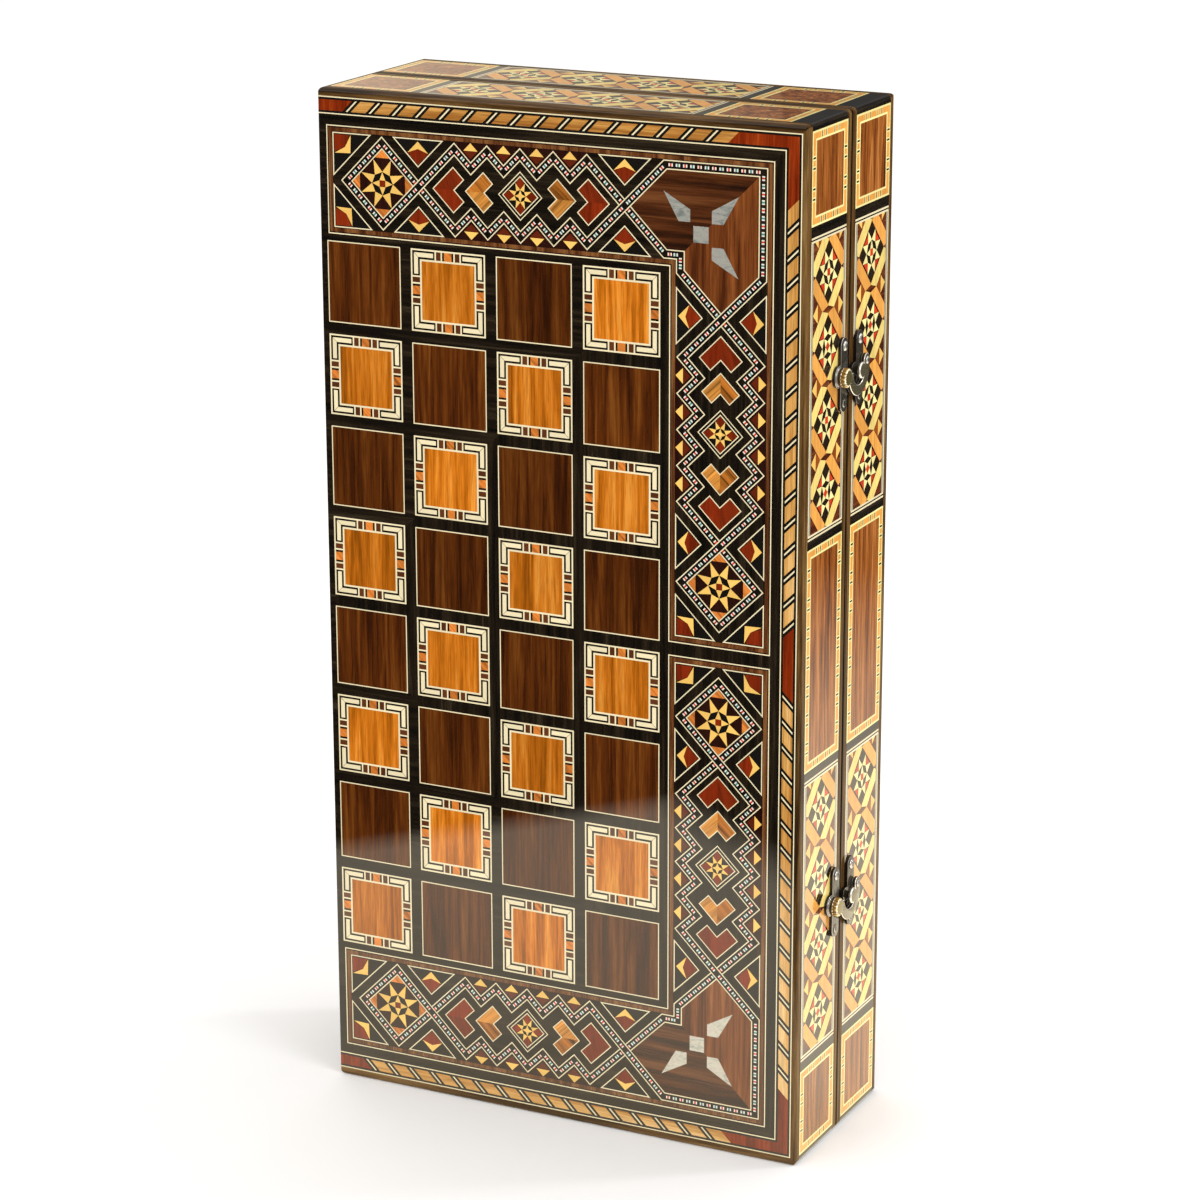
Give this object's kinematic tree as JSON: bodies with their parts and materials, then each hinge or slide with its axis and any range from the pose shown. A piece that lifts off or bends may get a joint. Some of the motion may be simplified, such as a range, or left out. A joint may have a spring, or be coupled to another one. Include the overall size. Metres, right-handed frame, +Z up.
{
  "type": "chess box with hinged lid",
  "caption": "Folding wooden chess and backgammon box: two hinged marquetry trays that open to one board, held shut by swinging hook latches.",
  "frame": {"origin": "middle of the footprint, hinges and latches counted in, on the parting plane of the two trays, with the box standing on a short end", "axes": "+Z up along the 500 mm height, +X from the hinge side to the latch side, -Y out of the front tray's chess face"},
  "size_m": [0.2594, 0.1, 0.5],
  "materials": {
    "plywood": "glued plywood core, covered on both faces",
    "rail_walnut": "walnut, satin lacquer inside and at the rim",
    "edging_walnut": "brown walnut edging, rounded and lacquered",
    "ebony": "ebonised veneer, near black with fine grain, high gloss lacquer",
    "walnut": "dark walnut veneer with upright grain, high gloss lacquer",
    "orange_wood": "orange brown veneer with upright grain, high gloss lacquer",
    "marquetry_frame": "cream and dark marquetry frame strips, gloss lacquer",
    "strip_walnut": "brown strip, gloss lacquer",
    "stringing": "dotted micro mosaic stringing of cream, black, red and green rods, gloss lacquer",
    "medallion_walnut": "figured walnut veneer, gloss lacquer",
    "mother_of_pearl": "polished mother of pearl under lacquer",
    "olive_wood": "light orange olive wood, gloss lacquer",
    "padauk": "red padauk, gloss lacquer",
    "maple": "cream maple, gloss lacquer",
    "side_walnut": "walnut panel veneer with dotted frame, gloss lacquer",
    "side_mosaic": "star diamond mosaic veneer, gloss lacquer",
    "floor_walnut": "walnut floor veneer, satin lacquer",
    "point_dark": "dark walnut point veneer, satin lacquer",
    "point_light": "light orange point veneer, satin lacquer",
    "hinge_brass": "plain drawn brass, slightly tarnished",
    "hinge_steel": "drawn steel pin",
    "antique_bronze": "antique bronze, dark recesses and bright rubbed edges",
    "gold_brass": "bright knurled brass"
  },
  "bodies": {
    "back_tray": {"back_tray_face_panel": "plywood", "back_tray_hinge_rail": "rail_walnut", "back_tray_latch_rail": "rail_walnut", "back_tray_top_rail": "rail_walnut", "back_tray_bottom_rail": "rail_walnut", "back_tray_edging": "edging_walnut", "back_tray_ebony_ground": "ebony", "back_tray_walnut_squares": "walnut", "back_tray_light_squares": "orange_wood", "back_tray_square_frames": "marquetry_frame", "back_tray_walnut_strips": "strip_walnut", "back_tray_stringing": "stringing", "back_tray_medallions": "medallion_walnut", "back_tray_pearl_inlays": "mother_of_pearl", "back_tray_olive_inlays": "olive_wood", "back_tray_padauk_inlays": "padauk", "back_tray_star_inlays": "maple", "back_tray_side_bars": "ebony", "back_tray_side_panels": "side_walnut", "back_tray_side_mosaics": "side_mosaic", "back_tray_playing_floor": "floor_walnut", "back_tray_dark_points": "point_dark", "back_tray_light_points": "point_light", "back_tray_hinge_screws": "hinge_brass", "back_tray_latch_nails": "antique_bronze", "back_tray_hinge_leaves": "hinge_brass", "back_tray_latch_plates": "antique_bronze", "hinge_pins": "hinge_steel", "latch_posts": "antique_bronze"},
    "front_tray": {"front_tray_face_panel": "plywood", "front_tray_hinge_rail": "rail_walnut", "front_tray_latch_rail": "rail_walnut", "front_tray_top_rail": "rail_walnut", "front_tray_bottom_rail": "rail_walnut", "front_tray_edging": "edging_walnut", "front_tray_ebony_ground": "ebony", "front_tray_walnut_squares": "walnut", "front_tray_light_squares": "orange_wood", "front_tray_square_frames": "marquetry_frame", "front_tray_walnut_strips": "strip_walnut", "front_tray_stringing": "stringing", "front_tray_medallions": "medallion_walnut", "front_tray_pearl_inlays": "mother_of_pearl", "front_tray_olive_inlays": "olive_wood", "front_tray_padauk_inlays": "padauk", "front_tray_star_inlays": "maple", "front_tray_side_bars": "ebony", "front_tray_side_panels": "side_walnut", "front_tray_side_mosaics": "side_mosaic", "front_tray_playing_floor": "floor_walnut", "front_tray_dark_points": "point_dark", "front_tray_light_points": "point_light", "front_tray_hinge_screws": "hinge_brass", "front_tray_latch_nails": "antique_bronze", "front_tray_hinge_leaves": "hinge_brass", "front_tray_latch_plates": "antique_bronze"},
    "upper_hook": {"upper_hook": "antique_bronze", "upper_knob": "gold_brass"},
    "lower_hook": {"lower_hook": "antique_bronze", "lower_knob": "gold_brass"}
  },
  "joints": [
    {"name": "lid_hinge", "type": "hinge", "parent": "back_tray", "child": "front_tray", "pos_m": [-0.12706, 0, 0.25], "axis": [0, 0, -1], "range_deg": [0, 180]},
    {"name": "upper_hook_pivot", "type": "hinge", "parent": "front_tray", "child": "upper_hook", "pos_m": [0.12519, -0.0145, 0.379], "axis": [-1, 0, 0], "range_deg": [0, 80]},
    {"name": "lower_hook_pivot", "type": "hinge", "parent": "front_tray", "child": "lower_hook", "pos_m": [0.12519, -0.0145, 0.121], "axis": [-1, 0, 0], "range_deg": [0, 80]}
  ]
}
